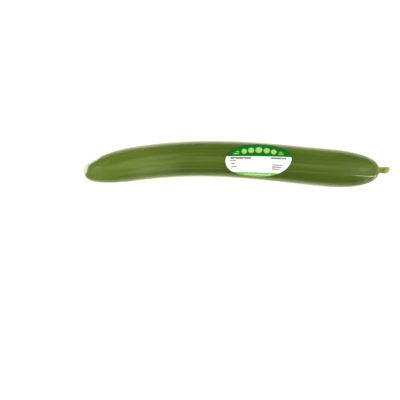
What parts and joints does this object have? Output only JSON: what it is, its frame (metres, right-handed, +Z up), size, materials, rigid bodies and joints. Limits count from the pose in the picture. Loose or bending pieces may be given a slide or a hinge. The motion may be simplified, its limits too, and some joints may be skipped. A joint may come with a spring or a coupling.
{
  "type": "cucumber",
  "caption": "Long salad cucumber lying on its side, shrink-wrapped in clear film, with a cut stem stub and an oval label on the film.",
  "frame": {"origin": "on the surface that the cucumber lies on, under the middle of its bounding box", "axes": "+X along the cucumber towards its stem end, +Z up, and the hollow side of its bow and its label face -Y"},
  "size_m": [0.3282, 0.065, 0.0407],
  "materials": {
    "skin": "waxy dark green cucumber skin with faint lengthwise furrows",
    "stem": "dull yellow-green ridged stem with a pale cut end",
    "film": "clear glossy shrink film, whitish where it is gathered",
    "label": "satin printed sticker in dark green, white and lime"
  },
  "bodies": {
    "root": {"fruit": "skin", "stem": "stem", "film": "film", "label": "label"}
  },
  "joints": []
}
